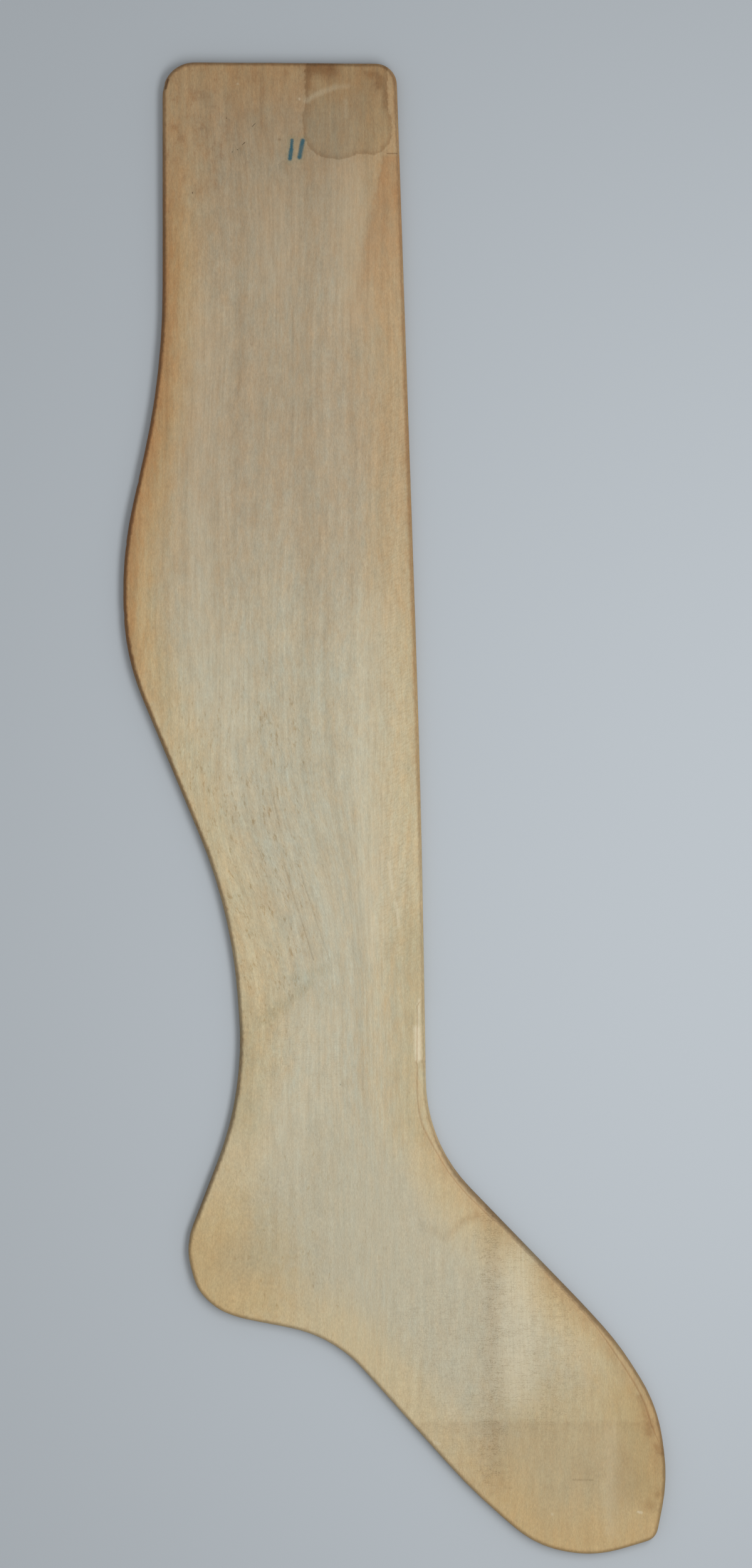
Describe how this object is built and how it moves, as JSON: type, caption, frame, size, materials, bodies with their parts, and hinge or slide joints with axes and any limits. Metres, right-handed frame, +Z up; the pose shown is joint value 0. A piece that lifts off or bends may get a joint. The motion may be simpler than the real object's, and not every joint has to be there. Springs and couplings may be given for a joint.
{
  "type": "sock stretcher",
  "caption": "Flat wooden board in the outline of a leg and a foot that points down, with rounded edges, for drying a long stocking to its shape.",
  "frame": {"origin": "under the middle of the board's outline, on its back face, which it lies on", "axes": "+Z up, out of the front face; +Y along the leg towards its top; +X towards the shin and the toe"},
  "size_m": [0.2768, 0.7618, 0.006],
  "materials": {
    "board_wood": "bare pale hardwood, sanded smooth, darkened by handling along the edges"
  },
  "bodies": {
    "root": {"leg_board": "board_wood"}
  },
  "joints": []
}
